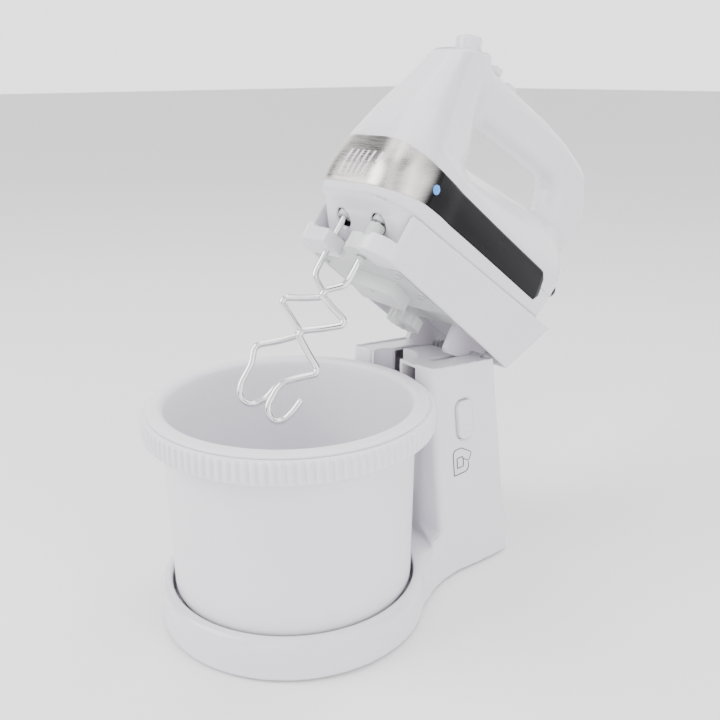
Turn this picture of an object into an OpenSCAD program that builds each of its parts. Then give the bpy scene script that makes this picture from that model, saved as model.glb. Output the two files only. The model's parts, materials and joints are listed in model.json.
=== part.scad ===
// Stand mixer with a rotating bowl: a hand mixer lies in a tilting arm on a stand.
// Millimetres, +Z up, +Y to the rear. Shapes are drawn about the bowl's axis, the
// head in its lowered position, and the whole part is then moved so that the middle
// of its floor area is the origin.

/* [Stand] */
// Radius of the recess round the bowl's foot
recess_r = 89; // [88.5:0.1:89.2]
// Radius of the base disc at its foot
base_r = 97.2; // [97:0.1:98]
// Height of the base's rim
base_h = 31.3; // [31:0.1:32]
// Height of the column's front top edge
column_h = 171.3; // [170:0.1:171.5]
// Height of the column's rear top edge
column_rear_h = 164.2; // [163:0.1:164.5]
// Half the column's width at its top
column_top_half = 43.4; // [43:0.1:43.6]
// Half the column's width at the floor
column_foot_half = 64.4; // [63:0.1:65]
// Distance from the bowl's axis to the column's front
column_front = 100; // [99:0.5:101]
// Wall of the stand's mouldings
stand_wall = 2.8; // [2.4:0.1:3]

/* [Bowl] */
// Number of ribs on the bowl's ring
ring_teeth = 112; // [112]
// Radius over the ribs
ring_r = 103; // [103]
// Height of the ribs' lower end
ring_z0 = 144.6; // [144:0.1:145]
// Height of the ribs' upper end
ring_z1 = 160.3; // [160:0.1:161]
// Thickness of the bowl's wall
bowl_wall = 2.6; // [2.2:0.1:3]

/* [Arm] */
// Angle between the lowered and the raised head
open_angle = 38.5; // [38.5]
// Distance of the hinge from the bowl's axis
pivot_y = 170.5; // [170.5]
// Height of the hinge
pivot_z = 162.5; // [162.5]
// Half the tray's width
tray_half = 47.3; // [47.2:0.1:47.6]
// Wall of the tray
tray_wall = 2.2; // [2:0.1:2.2]
// Height of the tray's lower edge when lowered
tray_z0 = 164.3; // [164.3]
// Height of the tray's floor, upper face
floor_z = 178.5; // [178.5]
// Distance of the tray's front from the bowl's axis
tray_front = 4; // [3:0.5:5]
// Rounding of the tray's front corners
tray_corner = 21; // [18:0.5:22]
// Radius of the hinge pin
pin_r = 3; // [2.5:0.1:3]

/* [Gears] */
// Teeth of the drive wheel
wheel_teeth = 15; // [15]
// Teeth of the sleeve gear
sleeve_teeth = 20; // [20]
// Large and small teeth of the reduction gear
reduction_large = 50; // [50]
reduction_small = 24; // [24]
// Teeth of the idler, and of the gear on the wheel's shaft
idler_teeth = 36; // [36]
// Teeth of the worm gears on the spindles
spindle_teeth = 26; // [26]

/* [Hand mixer] */
// Half the distance between the hooks
hook_x = 18; // [18]
// Distance of the hooks from the bowl's axis
hook_y = 18.5; // [18.5]
// Radius of the hooks' wire
wire_r = 2.4; // [2:0.1:2.5]
// Wall of the mixer's housing
shell = 2.4; // [2:0.1:2.6]
// Thickness of the band and the side panels
trim = 0.9; // [0.6:0.1:1]
// Half the handle's width
grip_half = 15.5; // [14:0.5:16]
// Height of the motor's axis
motor_z = 222; // [222]

/* [Hidden] */
$fn = 64;
eps = 0.01;
big = 400;
white = [0.93, 0.92, 0.95];
milky = [0.85, 0.87, 0.85, 0.8];
steel = [0.72, 0.71, 0.70];
black = [0.05, 0.05, 0.06];
copper = [0.72, 0.40, 0.20];

// Distance from the bowl's axis to the middle of the floor area
bowl_to_middle = 116.92;

// Gear geometry: ribs and wheel share one module
ring_module = 1.82;
ring_pitch_r = ring_teeth * ring_module / 2;
wheel_pitch_r = wheel_teeth * ring_module / 2;
wheel_x = -9.1;
wheel_y = sqrt(pow(ring_pitch_r + wheel_pitch_r, 2) - pow(wheel_x, 2));
wheel_at = [wheel_x, wheel_y];
sleeve_at = [hook_x, hook_y];
reach_a = (sleeve_teeth + reduction_large) / 2;
reach_b = (reduction_small + idler_teeth) / 2;
reach_c = idler_teeth;
reduction_at = sleeve_at + reach_a * unit(wheel_at - sleeve_at);
idler_at = meet(reduction_at, reach_b, wheel_at, reach_c);
gear_low = [167.0, 170.8];
gear_high = [173.1, 176.0];
floor_under = 176.5;
rear_cover_z = 171.7;
front_cover_end = 96.5;
box_z = 154;
box_at = [5, 61, 0];
box_half = [19, 15];
box_turn = 15.66;
wheel_z = [154, 165.4];
cover_z = 164.5;
cover_t = 1.4;
axle_r = 1.5;
run = 0.05;

// Column and hinge
pivot = [0, pivot_y, pivot_z];
column_rear_top = 174;
column_rear_foot = 177;
pocket_r = 17.6;
pocket_z = 147;
fin_x = 20;
fin_t = 4;
lug_x = 29;
lug_t = 4;
deck_drop = 1.2;

// Release button on the sloping side of the column
button_y = 132;
button_z = 125;
button_w = 17;
button_len = 31;
side_slope = (column_foot_half - column_top_half) / column_h;
button_x = column_top_half + side_slope * (column_h - button_z);
side_tilt = atan(side_slope);

// Knob on the nose
knob_tilt = 30;
knob_at = [0, 33.1, 349];
knob_r = 10.3;
// Top of the grip under the switch and the turbo button
switch_at = [0, 68, 354.4];
switch_tilt = 9.5;
turbo_at = [0, 89, 357.5];
turbo_tilt = 9;

// ---------------------------------------------------------------- functions

function unit(v) = v / norm(v);
function angle(v) = atan2(v[1], v[0]);
function arc(c, r, a0, a1, n = 8) =
    [for (i = [0:n]) let(a = a0 + (a1 - a0) * i / n) [c[0] + r * cos(a), c[1] + r * sin(a)]];

// Point at distance ra from a and rb from b, on the side of larger x
function meet(a, ra, b, rb) =
    let(d = norm(b - a), k = (ra * ra - rb * rb + d * d) / (2 * d),
        h = sqrt(max(0, ra * ra - k * k)), u = unit(b - a))
    a + k * u + h * [u[1], -u[0]];

// Turn of a gear that puts it in mesh with one turned by rot at the direction phi
function mesh(rot, phi, n, m) = phi + 180 + 180 / m - (rot - phi) * n / m;

// Outline moved inwards by t (counter-clockwise points)
function inset(p, t) = [for (i = [0:len(p) - 1])
    let(a = unit(p[i] - p[(i + len(p) - 1) % len(p)]), b = unit(p[(i + 1) % len(p)] - p[i]),
        na = [-a[1], a[0]], nb = [-b[1], b[0]])
    p[i] + t * (na + nb) / (1 + na * nb)];

// Closed tube along points, with flat ends
function frame_x(t) = unit(cross(t, abs(t[1]) < 0.9 ? [0, 1, 0] : [1, 0, 0]));
function heading(p, i) = unit(p[min(i + 1, len(p) - 1)] - p[max(i - 1, 0)]);
function tube_rings(p, r, n) = [for (i = [0:len(p) - 1]) let(t = heading(p, i),
    u = frame_x(t), v = cross(t, u)) for (k = [0:n - 1])
    p[i] + r * (cos(360 * k / n) * u + sin(360 * k / n) * v)];
function tube_faces(m, n) = concat([[for (k = [0:n - 1]) k]],
    [for (i = [0:m - 2]) for (k = [0:n - 1])
        [i * n + k, (i + 1) * n + k, (i + 1) * n + (k + 1) % n, i * n + (k + 1) % n]],
    [[for (k = [n - 1:-1:0]) (m - 1) * n + k]]);
module tube(p, r, n = 8) polyhedron(tube_rings(p, r, n), tube_faces(len(p), n));
function helix(r, len, turns, n = 14) =
    [for (i = [0:turns * n]) [r * cos(360 * i / n), r * sin(360 * i / n), len * i / (turns * n)]];

// ---------------------------------------------------------------- shared shapes

module place() translate([0, -bowl_to_middle, 0]) children();
module head() place() translate(pivot) rotate([-open_angle, 0, 0]) translate(-pivot) children();
module across(half) rotate([90, 0, 90]) translate([0, 0, -half]) linear_extrude(2 * half) children();
module ring(r1, r0, h) difference() {
    cylinder(r = r1, h = h);
    translate([0, 0, -1]) cylinder(r = r0, h = h + 2);
}

// Spur gear with straight-sided teeth; a tooth points along +X
module spur(n, mod, h, add = 0.9, ded = 1.15, thick = 0.46) {
    pr = n * mod / 2;
    pitch = 360 / n;
    tip = pr + add * mod;
    root = pr - ded * mod;
    linear_extrude(h) polygon([for (i = [0:n - 1]) for (s = [-1, 1]) for (k = [0, 1])
        let(is_tip = (s < 0) ? k == 1 : k == 0,
            r = is_tip ? tip : root,
            half = pitch * thick / 2 * (is_tip ? 0.52 : 1.42),
            a = i * pitch + s * half) [r * cos(a), r * sin(a)]]);
}

// Screw with a pan head, pointing along -Z, head's seat at z = 0
module screw(len, r = 1.5) {
    rotate_extrude() polygon([[0, -len], [r * 0.5, -len], [r, -len + 2], [r, 0],
        [r * 2, 0], [r * 2, 0.9], [r * 1.5, 1.7], [0, 1.7]]);
}

// ---------------------------------------------------------------- stand

module base_profile(t) polygon(concat(
    [[0, 13 - t], [recess_r - 2 + t, 13 - t], [recess_r + t, 15 - t]],
    [[recess_r + t, base_h - 1.6 - 1.4 * t]],
    arc([base_r - 6.8, base_h - 6.8], 6.8 - t, t > 0 ? 60 : 90, 12, 6),
    [[base_r - t, 4], [base_r - t, 2.2 - 6 * (t > 0 ? 1 : 0)], [0, 2.2 - 6 * (t > 0 ? 1 : 0)]]));

module column_solid(t) intersection() {
    translate([0, big, 0]) rotate([90, 0, 0]) linear_extrude(big) polygon([
        [-column_foot_half + t, -5], [-column_top_half + t, column_h],
        [column_top_half - t, column_h], [column_foot_half - t, -5]]);
    across(big / 2) polygon([[70 + t, 2.2 - 6 * (t > 0 ? 1 : 0)], [70 + t, base_h - 8],
        [column_front + t, base_h + 10],
        [column_front + t, column_h], [column_rear_top - t, column_rear_h],
        [column_rear_foot - t, 2.2 - 6 * (t > 0 ? 1 : 0)]]);
}

module bowl_relief(r) translate([0, 0, base_h + 1]) cylinder(r = r, h = 200, $fn = 128);

module button_place() translate([button_x, button_y, button_z]) rotate([0, 90 - side_tilt, 0])
    children();
module rounded_slab(a, b, r, h) {
    translate([-a / 2 + r, -b / 2, 0]) cube([a - 2 * r, b, h]);
    translate([-a / 2, -b / 2 + r, 0]) cube([a, b - 2 * r, h]);
    for (x = [-1, 1], y = [-1, 1])
        translate([x * (a / 2 - r), y * (b / 2 - r), 0]) cylinder(r = r, h = h);
}

module stand_housing() color(white) place() difference() {
    union() {
        difference() {
            union() {
                rotate_extrude($fn = 128) base_profile(0);
                column_solid(0);
            }
            rotate_extrude($fn = 128) base_profile(stand_wall);
            column_solid(stand_wall);
            bowl_relief(105.2);
            translate([0, 0, 13]) cylinder(r = recess_r, h = 60, $fn = 128);
        }
        // Concave front wall behind the ring, and the recess's rear wall
        intersection() {
            column_solid(0);
            translate([0, 0, base_h - 6]) ring(105.2 + stand_wall, 105.2, 200, $fn = 128);
        }
        difference() {
            rotate_extrude($fn = 128) difference() {
                base_profile(0);
                base_profile(stand_wall);
            }
            translate([0, 0, -1]) cylinder(r = 60, h = 13);
            translate([-56.4, 60, -1]) cube([112.8, 60, 7.2]);
        }
        // Rib behind the latch's spring
        intersection() {
            column_solid(0);
            translate([-7.4, 126, 122]) cube([4, 60, 14]);
        }
        // Spindle boss and screw posts
        translate([0, 0, 6.2]) cylinder(r = 11, h = 6);
        for (p = post_at) translate([p[0], p[1], 6.2]) cylinder(r = 4, h = p[2]);
    }
    // Top opening for the deck
    for (rise = [0, 1.2]) intersection() {
        translate([0, 0, rise]) column_solid(stand_wall);
        translate([-big / 2, 60, 140]) cube([big, big, 100]);
    }
    pocket_cut(2);
    // Room for the fins and the pin in the rear wall
    translate([-fin_x - 3.4, 165, 152.5]) cube([2 * fin_x + 6.8, 20, 30]);
    translate([-33.2, pivot_y, pivot_z]) rotate([0, 90, 0]) cylinder(r = pin_r, h = 66.4);
    translate([0, 0, 5]) cylinder(r = 4, h = 20);
    for (p = post_at) translate([p[0], p[1], 0]) cylinder(r = 1.2, h = 12);
    // Window of the release button, and its sunk surround
    button_place() translate([0, 0, -8]) rounded_slab(button_len, button_w, 6.5, 20);
    button_place() translate([0, 0, -0.9]) rounded_slab(button_len + 3, button_w + 3, 7.5, 20);
}
post_at = [[70, -20, 6.5], [-70, -20, 6.5], [0, -74, 6.5], [45, 60, 6.5], [-45, 60, 6.5]];

module pocket_cut(extra) translate([wheel_x, wheel_y, pocket_z])
    cylinder(r = pocket_r + extra, h = 60);

module column_deck() color(white) place() difference() {
    union() {
        // Sunk deck inside the column's rim
        intersection() {
            column_solid(stand_wall + 0.01);
            across(big / 2) polygon([[90, column_h - deck_drop - 2.6 + 0.9],
                [200, column_h - deck_drop - 2.6 - 9.7], [200, column_h - deck_drop - 9.7],
                [90, column_h - deck_drop + 0.9]]);
        }
        // Cup of the drive wheel
        intersection() {
            translate([wheel_x, wheel_y, pocket_z - 2]) cylinder(r = pocket_r + 2, h = 22);
            union() {
                column_solid(stand_wall + 0.01);
                translate([wheel_x - pocket_r - 2, 60, 0]) cube([2 * pocket_r + 4, 50, 200]);
            }
            difference() {
                translate([-100, 60, 0]) cube([200, 200, column_h - deck_drop - 1.5]);
                bowl_relief(105.2);
            }
        }
        // Lugs that hold the pin
        for (s = [-1, 1]) translate([s * lug_x, 0, 0]) across(lug_t / 2)
            polygon(concat([[pivot_y - 12, 163], [pivot_y - 12, 150]],
                [[pivot_y - 4, 148], [pivot_y + 0.5, 148], [pivot_y + 0.5, 163.1]]));
    }
    pocket_cut(0);
    bowl_relief(105.2);
    // Slots of the fins
    for (s = [-1, 1]) translate([s * fin_x - 3.4, 124, 120]) cube([6.8, 60, 60]);
    translate([-fin_x, 163, 120]) cube([2 * fin_x, 30, 60]);
    translate([-60, pivot_y, pivot_z]) rotate([0, 90, 0]) cylinder(r = pin_r, h = 120);
}

module base_cover() color(white) place() difference() {
    intersection() {
        union() {
            translate([0, 0, 2.4]) cylinder(r = base_r - stand_wall - 0.4, h = 2, $fn = 128);
            translate([-56, 60, 2.4]) cube([112, 112, 2]);
            for (p = post_at) translate([p[0], p[1], 2.4]) cylinder(r = 4, h = 3.8);
            translate([0, 0, 2.4]) cylinder(r = 11, h = 3.8);
        }
        union() {
            cylinder(r = base_r - stand_wall - 0.4, h = 20, $fn = 128);
            column_solid(stand_wall + 0.4);
        }
    }
    for (p = post_at) translate([p[0], p[1], 0]) {
        cylinder(r = 1.6, h = 10);
        translate([0, 0, -1]) cylinder(r = 3.4, h = 5);
    }
    for (p = foot_at) translate([p[0], p[1], 0]) cylinder(r = 3, h = 10);
}
foot_at = [[62, -48], [-62, -48], [45, 160], [-45, 160], [0, 84]];

module rubber_feet() color(black) place() for (p = foot_at) translate([p[0], p[1], 0])
    rotate_extrude() polygon([[0, 0], [6.5, 0], [7.5, 0.8], [7.5, 2.4], [3, 2.4], [3, 4.4],
        [4, 4.6], [3.4, 6], [0, 6]]);

module stand_screws() color(steel) place() for (p = post_at)
    translate([p[0], p[1], 4]) rotate([180, 0, 0]) screw(7.5, 1.2);

module hinge_pin() color(steel) place() translate([-33, pivot_y, pivot_z]) rotate([0, 90, 0])
    cylinder(r = pin_r, h = 66);

module hinge_spring() color(steel) place() translate([-14, pivot_y, pivot_z]) {
    rotate([0, 90, 0]) tube(helix(4.6, 28, 9), 0.8, 6);
    translate([-0.8, -1, -5.2]) rotate([100, 0, 0]) cylinder(r = 0.8, h = 18, $fn = 16);
}

module release_button() color(white) place() button_place() {
    translate([0, 0, -5]) rounded_slab(button_len - 0.8, button_w - 0.8, 6, 7.2);
    translate([0, 0, -7]) rounded_slab(button_len + 5, button_w + 3, 6, 2);
    translate([8.5, 3, 2.2 - 3.4]) intersection() {
        sphere(r = 5);
        translate([-9, -9, 3]) cube(18);
    }
}

module latch_slide() color(white) place() {
    button_place() translate([-3, -3, -36]) cube([6, 6, 29]);
    translate([12, button_y - 3, button_z - 4]) cube([8, 6, 26]);
    translate([12, button_y - 3, button_z + 14]) cube([14, 6, 8]);
    translate([15, button_y, button_z + 21]) cylinder(r = 2.4, h = 2.2);
}

module latch_spring() color(steel) place() translate([-3, button_y, button_z + 4])
    rotate([0, 90, 0]) tube(helix(3, 14.3, 6), 0.5, 6);

// ---------------------------------------------------------------- turntable and bowl

module turntable_spindle() color(steel) place() translate([0, 0, 6.4]) {
    cylinder(r = 4, h = 10.6);
}
module thrust_washer() color(steel) place() translate([0, 0, 13]) ring(9, 4.2, 0.75);

module turntable() color(white) place() {
    translate([0, 0, 13.8]) difference() {
        union() {
            cylinder(r = 62, h = 3, $fn = 96);
            cylinder(r = 9, h = 4.8);
            for (a = [0:120:240]) rotate(a) translate([44, -4, 0]) cube([8, 8, 7]);
        }
        translate([0, 0, -1]) cylinder(r = 4 + run, h = 4.6);
    }
}

// Outer wall of the bowl, with a rounded bottom edge
module bowl_outline(t) polygon(concat([[0, 19.2 + t], [73.4, 19.2 + t]],
    arc([74, 32], 12.8 - t, -90, -8, 8),
    [[89.2 - t, 158], [0, 158]]));

module bowl() color(white) place() difference() {
    union() {
        rotate_extrude($fn = 128) bowl_outline(0);
        translate([0, 0, 17.1]) ring(64.5, 60, 4, $fn = 96);
        // Rolled lip over the ring
        rotate_extrude($fn = 128) polygon([[86, 157], [91, 157], [91, 160.6], [98.6, 160.6],
            [98.9, 161.7], [97.4, 163], [91, 163.8], [88.6, 163.2], [86.6, 161]]);
    }
    rotate_extrude($fn = 128) polygon(concat([[0, 24.4], [71.4, 24.4]],
        arc([72, 36], 11.6, -90, -8, 8), [[86.5, 157], [88.4, 161], [91, 170], [0, 170]]));
    for (a = [0:120:240]) rotate(a) translate([43.4, -4.6, 10]) cube([9.2, 9.2, 11.6]);
}

module bowl_ring() color(white) place() difference() {
    union() {
        translate([0, 0, ring_z0]) spur(ring_teeth, ring_module, ring_z1 - ring_z0,
            (ring_r - ring_pitch_r) / ring_module, 0.9, 0.48);
        translate([0, 0, ring_z0 - 2]) cylinder(r = 100.2, h = 160.6 - ring_z0 + 2, $fn = 128);
    }
    translate([0, 0, 100]) cylinder(r = 97.2, h = 58.3, $fn = 128);
    translate([0, 0, 100]) cylinder(r = 91, h = 80, $fn = 128);
}

// ---------------------------------------------------------------- arm

tray_side = [[-6, tray_z0], [188, tray_z0], [218.5, 216.6], [3.6, 200.3]];
module tray_block(t, low, high) intersection() {
    across(tray_half - t) polygon(inset(tray_side, t));
    translate([-100, -50, low]) cube([200, 400, high - low]);
}

module tray_plan(t) translate([0, 0, 100]) linear_extrude(200) polygon(concat(
    [[-tray_half + t, 250], [-tray_half + t, 30]],
    arc([-tray_half + tray_corner, tray_front + tray_corner], tray_corner - t, 180, 270),
    arc([tray_half - tray_corner, tray_front + tray_corner], tray_corner - t, 270, 360),
    [[tray_half - t, 30], [tray_half - t, 250]]));

module arm_tray() color(white) head() difference() {
    intersection() {
        across(tray_half) polygon(tray_side);
        tray_plan(0);
    }
    // Bed of the hand mixer, open above
    intersection() {
        across(tray_half - tray_wall) polygon([[-30, floor_z], [tray_side[1][0] + 5.6, floor_z],
            [tray_side[2][0] - 2.5, 217], [tray_side[2][0] - 2.5, 240], [-30, 240]]);
    }
    // Space under the floor, open below
    difference() {
        across(tray_half - tray_wall) polygon([[30.5, 150], [186, 150], [186, 166],
            [191, floor_under], [30.5, floor_under]]);
    }
    // Open front round the hooks
    intersection() {
        tray_plan(tray_wall);
        translate([-100, -20, 150]) cube([200, 48, 100]);
    }
    translate([-36, -20, 150]) cube([72, 40, 100]);
    // Passage of the drive sleeve and its gear
    translate([-11.4, 20, 150]) cube([43.8, 14, floor_under - 150]);
    for (p = [reduction_at, idler_at, wheel_at]) translate([p[0], p[1], 170])
        cylinder(r = axle_r, h = 20);
    for (p = arm_screw_at) translate([p[0], p[1], 170]) cylinder(r = 1.3, h = 20);
    for (p = bracket_screw_at) translate([p[0], p[1], 170]) cylinder(r = 1.3, h = 20);
}
arm_screw_at = [[38, 40], [-38, 40], [38, 70], [-38, 70]];
bracket_screw_at = [for (y = [142, 182]) for (s = [-1, 1]) [s * (fin_x + 6.5), y]];

// Tray-shaped cover that closes the gear space from below, with the sleeve's bearing
module gearbox_housing() color(white) head() difference() {
    union() {
        difference() {
            union() {
                translate([-43, 31.2, cover_z])
                    cube([86, front_cover_end - 31.2, floor_under - cover_z]);
                translate([-31.4, 90, rear_cover_z]) cube([58.8, 46.4, floor_under - rear_cover_z]);
            }
            translate([-40.6, 33.4, cover_z + cover_t]) cube([81.2, front_cover_end - 35.6, 20]);
            translate([-29.4, 88, rear_cover_z + 1]) cube([54.8, 46.6, 20]);
        }
        translate([hook_x, hook_y, cover_z]) cylinder(r = 14, h = floor_under - cover_z);
        translate([-11, 24, cover_z]) cube([43, 8, floor_under - cover_z]);
        for (p = arm_screw_at) translate([p[0], p[1], cover_z])
            cylinder(r = 3, h = floor_under - cover_z);
        // Box below the reduction gear, turned along the line of the gears
        box_place() translate([-box_half[0], -box_half[1], box_z])
            cube([2 * box_half[0], 2 * box_half[1], cover_z + 1 - box_z]);
        translate([reduction_at[0], reduction_at[1], cover_z]) cylinder(r = 4, h = 2.2);
    }
    translate([hook_x, hook_y, cover_z + cover_t]) cylinder(r = 11.6, h = 20);
    translate([hook_x, hook_y, cover_z - 5]) cylinder(r = 6.15 + run, h = 20);
    for (p = [reduction_at, idler_at]) translate([p[0], p[1], cover_z - 20])
        cylinder(r = axle_r, h = 40);
    translate([wheel_x, wheel_y, 140]) cylinder(r = 6.6, h = 40);
    for (p = arm_screw_at) translate([p[0], p[1], cover_z - 1]) cylinder(r = 1.3, h = 20);
    box_place() translate([2.2 - box_half[0], 2.2 - box_half[1], box_z + 2.2])
        cube([2 * box_half[0] - 4.4, 2 * box_half[1] - 4.4, cover_z - box_z - 2.2]);
    reduction_relief();
}
module box_place() translate(box_at) rotate(box_turn) children();
module reduction_relief() translate([reduction_at[0], reduction_at[1], gear_low[0] - 0.4])
    cylinder(r = reduction_large / 2 + 1.6, h = 12);

module hinge_bracket() color(white) head() difference() {
    union() {
        for (s = [-1, 1]) translate([s * fin_x, 0, 0]) across(fin_t / 2)
            polygon(concat([[137, floor_under], [137, 166], [138.5, 152], [142, 150]],
                arc([pivot_y, pivot_z], 8.5, -125, -10, 8), [[185.5, 170], [185.5, floor_under]]));
        for (s = [-1, 1]) translate([s * (fin_x + 5.5) - 5.5, 137, floor_under - 2.6])
            cube([11, 48.5, 2.6]);
        translate([-fin_x, 137, floor_under - 2.6]) cube([2 * fin_x, 48.5, 2.6]);
    }
    translate([-60, pivot_y, pivot_z]) rotate([0, 90, 0]) cylinder(r = pin_r + run, h = 120);
    for (p = bracket_screw_at) translate([p[0], p[1], 165]) cylinder(r = 1.3, h = 20);
}

module arm_screws() color(steel) head() {
    for (p = arm_screw_at) translate([p[0], p[1], cover_z]) rotate([180, 0, 0]) screw(13.5, 1.3);
    for (p = bracket_screw_at) translate([p[0], p[1], floor_under - 2.6]) rotate([180, 0, 0])
        screw(4.2, 1.3);
}

module gear_axles() color(steel) head() {
    translate([reduction_at[0], reduction_at[1], cover_z]) cylinder(r = axle_r, h = 13.5);
    translate([idler_at[0], idler_at[1], rear_cover_z]) cylinder(r = axle_r, h = 6.3);
    translate([wheel_x, wheel_y, 153.4]) cylinder(r = axle_r, h = 24.6);
    translate([wheel_x, wheel_y, 152.6]) cylinder(r = 3, h = 0.8);
}

sleeve_rot = 0;
phi_a = angle(reduction_at - sleeve_at);
phi_b = angle(idler_at - reduction_at);
phi_c = angle(wheel_at - idler_at);
phi_ring = angle(wheel_at);
reduction_rot = mesh(sleeve_rot, phi_a, sleeve_teeth, reduction_large);
idler_rot = mesh(reduction_rot, phi_b, reduction_small, idler_teeth);
shaft_rot = mesh(idler_rot, phi_c, idler_teeth, idler_teeth);
wheel_rot = mesh(0, phi_ring, ring_teeth, wheel_teeth);

module drive_sleeve() color(milky) head() translate([hook_x, hook_y, 0]) difference() {
    union() {
        translate([0, 0, gear_low[0]]) rotate(sleeve_rot) spur(sleeve_teeth, 1, 3.8);
        translate([0, 0, cover_z]) cylinder(r = 6.15, h = 25);
        translate([0, 0, gear_low[1]]) cylinder(r = 8, h = 2.8);
    }
    translate([0, 0, cover_z - 1]) cylinder(r = 3.9, h = 40);
}

module reduction_gear() color(milky) head() translate([reduction_at[0], reduction_at[1], 0])
    difference() {
        union() {
            translate([0, 0, gear_low[0]]) rotate(reduction_rot) spur(reduction_large, 1, 3.8);
            translate([0, 0, gear_low[0]]) rotate(reduction_rot) spur(reduction_small, 1, 9);
        }
        translate([0, 0, 150]) cylinder(r = axle_r + run, h = 40);
    }

module idler_gear() color(milky) head() translate([idler_at[0], idler_at[1], 0]) difference() {
    union() {
        translate([0, 0, gear_high[0]]) rotate(idler_rot) spur(idler_teeth, 1, 2.9);
        translate([0, 0, gear_high[0]]) cylinder(r = 4, h = 3.1);
    }
    translate([0, 0, 150]) cylinder(r = axle_r + run, h = 40);
}

module drive_wheel() color(milky) head() translate([wheel_x, wheel_y, 0]) difference() {
    union() {
        translate([0, 0, gear_high[0]]) rotate(shaft_rot) spur(idler_teeth, 1, 2.9);
        translate([0, 0, wheel_z[1] - 2.8]) cylinder(r = 6.2, h = gear_high[1] - wheel_z[1] + 2.8);
        translate([0, 0, wheel_z[0]]) rotate(wheel_rot)
            spur(wheel_teeth, ring_module, wheel_z[1] - wheel_z[0] - 2.6, 0.27, 0.75, 0.42);
        translate([0, 0, wheel_z[1] - 2.7]) cylinder(r = 13, h = 0.4);
    }
    translate([0, 0, 150]) cylinder(r = axle_r + run, h = 40);
}

// ---------------------------------------------------------------- hand mixer's shape

// Level outline: height, front, rear, half width, corner radius
nose_levels = [[195, 9, 66, 33, 17], [203, -5.5, 66, 42, 25], [209, -9, 66, 43.4, 26],
    [225, -11, 66, 43.8, 28], [245, -10, 66, 41.5, 29], [263, -7.5, 66, 37.6, 28],
    [277, -4.6, 65, 33.8, 25], [305, 3, 56, 25.5, 18], [338, 11, 51, 17.6, 12.5]];
body_levels = [[178.8, 32, 190, 43, 8], [203, 8, 204, 44, 16], [225, 8, 212.5, 44, 20],
    [250, 8, 221.5, 41, 20]];
ridge = [[76, 276], [145, 292], [196, 303], [216, 298]];
ridge_r = 11;
module level(l, t) for (x = [-1, 1], y = [l[1] + l[4], l[2] - l[4]])
    translate([x * (l[3] - l[4]), y, l[0]]) cylinder(r = l[4] - t, h = eps, $fn = 32);
module nose(t) hull() {
    for (l = nose_levels) level([l[0] + (l[0] < 200 ? t : 0), l[1], l[2], l[3], l[4]], t);
    translate(knob_at) rotate([knob_tilt, 0, 0]) translate([0, 0, -2 - t])
        cylinder(r = 15.5 - t, h = 1, $fn = 32);
}
module body(t) hull() {
    for (l = body_levels) level([l[0] + (l[0] < 200 ? t : 0), l[1], l[2], l[3], l[4]], t);
    for (p = ridge) translate([0, p[0], p[1] - ridge_r]) sphere(r = ridge_r - t, $fn = 24);
}

// Grip: outline seen from the side, counter-clockwise, and the finger opening
grip_outer = concat([[40, 300], [40, 235], [205, 228], [225, 262], [235, 290], [239.3, 310]],
    arc([201, 321], 44, 12, 44, 4), [[214, 366.5]],
    [[200, 368.3], [170, 368.6], [135, 365], [110, 360.6], [90, 357.5], [63, 353], [45, 350]]);
grip_hole = concat(arc([80, 291], 12, 165, 280, 5), [[140, 291]],
    arc([181, 312], 12, -78, 20, 5), arc([176, 322], 12, 15, 100, 5),
    arc([80, 304], 12, 105, 170, 4));
module grip(t) across(grip_half - t) polygon(inset(grip_outer, t));
module finger_gap(t) across(60) polygon(inset(grip_hole, -t));

module below_split(dz) across(big / 2) polygon([[-100, -100], [400, -100], [400, 251 + dz],
    [187, 238 + dz], [-40, 219 + dz], [-100, 219 + dz]]);
band_area = [[-40, 205.5], [-12, 206], [4, 209.5], [22, 213.5], [186.5, 225], [186.5, 251],
    [71, 243.6], [20, 241.2], [-10, 243], [-40, 247]];
band_end = 26;
module band_zone(y0, y1) intersection() {
    across(100) polygon(band_area);
    translate([-100, y0, 150]) cube([200, y1 - y0, 200]);
}
module mixer_outer(t) { nose(t); body(t); }

module vent_slots() for (i = [-2:3]) rotate_about([0, 12, 0], i * 13) translate([-1.1, -60, 208])
    rotate([0, 10, 0]) cube([2.2, 60, 23]);
module rotate_about(c, a) translate(c) rotate(a) translate(-c) children();

module lower_housing() color(white) head() difference() {
    union() {
        difference() {
            intersection() {
                mixer_outer(0);
                below_split(0);
            }
            mixer_outer(shell);
        }
        // Saddles of the bushes and of the motor
        translate([-10, 32.6, 180]) cube([20, 5, motor_z - 7 - 180]);
        translate([-10, 152, 180]) cube([20, 5, motor_z - 7 - 180]);
        for (y = [78, 97]) translate([-20, y, 180]) cube([40, 5, motor_z - 27 - 180]);
    }
    difference() {
        band_zone(-60, 187);
        mixer_outer(trim);
    }
    for (s = [-1, 1]) translate([s * hook_x, hook_y, 180]) cylinder(r = 6.6, h = 30);
    vent_slots();
    for (p = mixer_screw_at) translate([p[0], p[1], 170]) cylinder(r = 1.7, h = 20);
}
mixer_screw_at = [[30, 60], [-30, 60], [30, 170], [-30, 170]];

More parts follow.
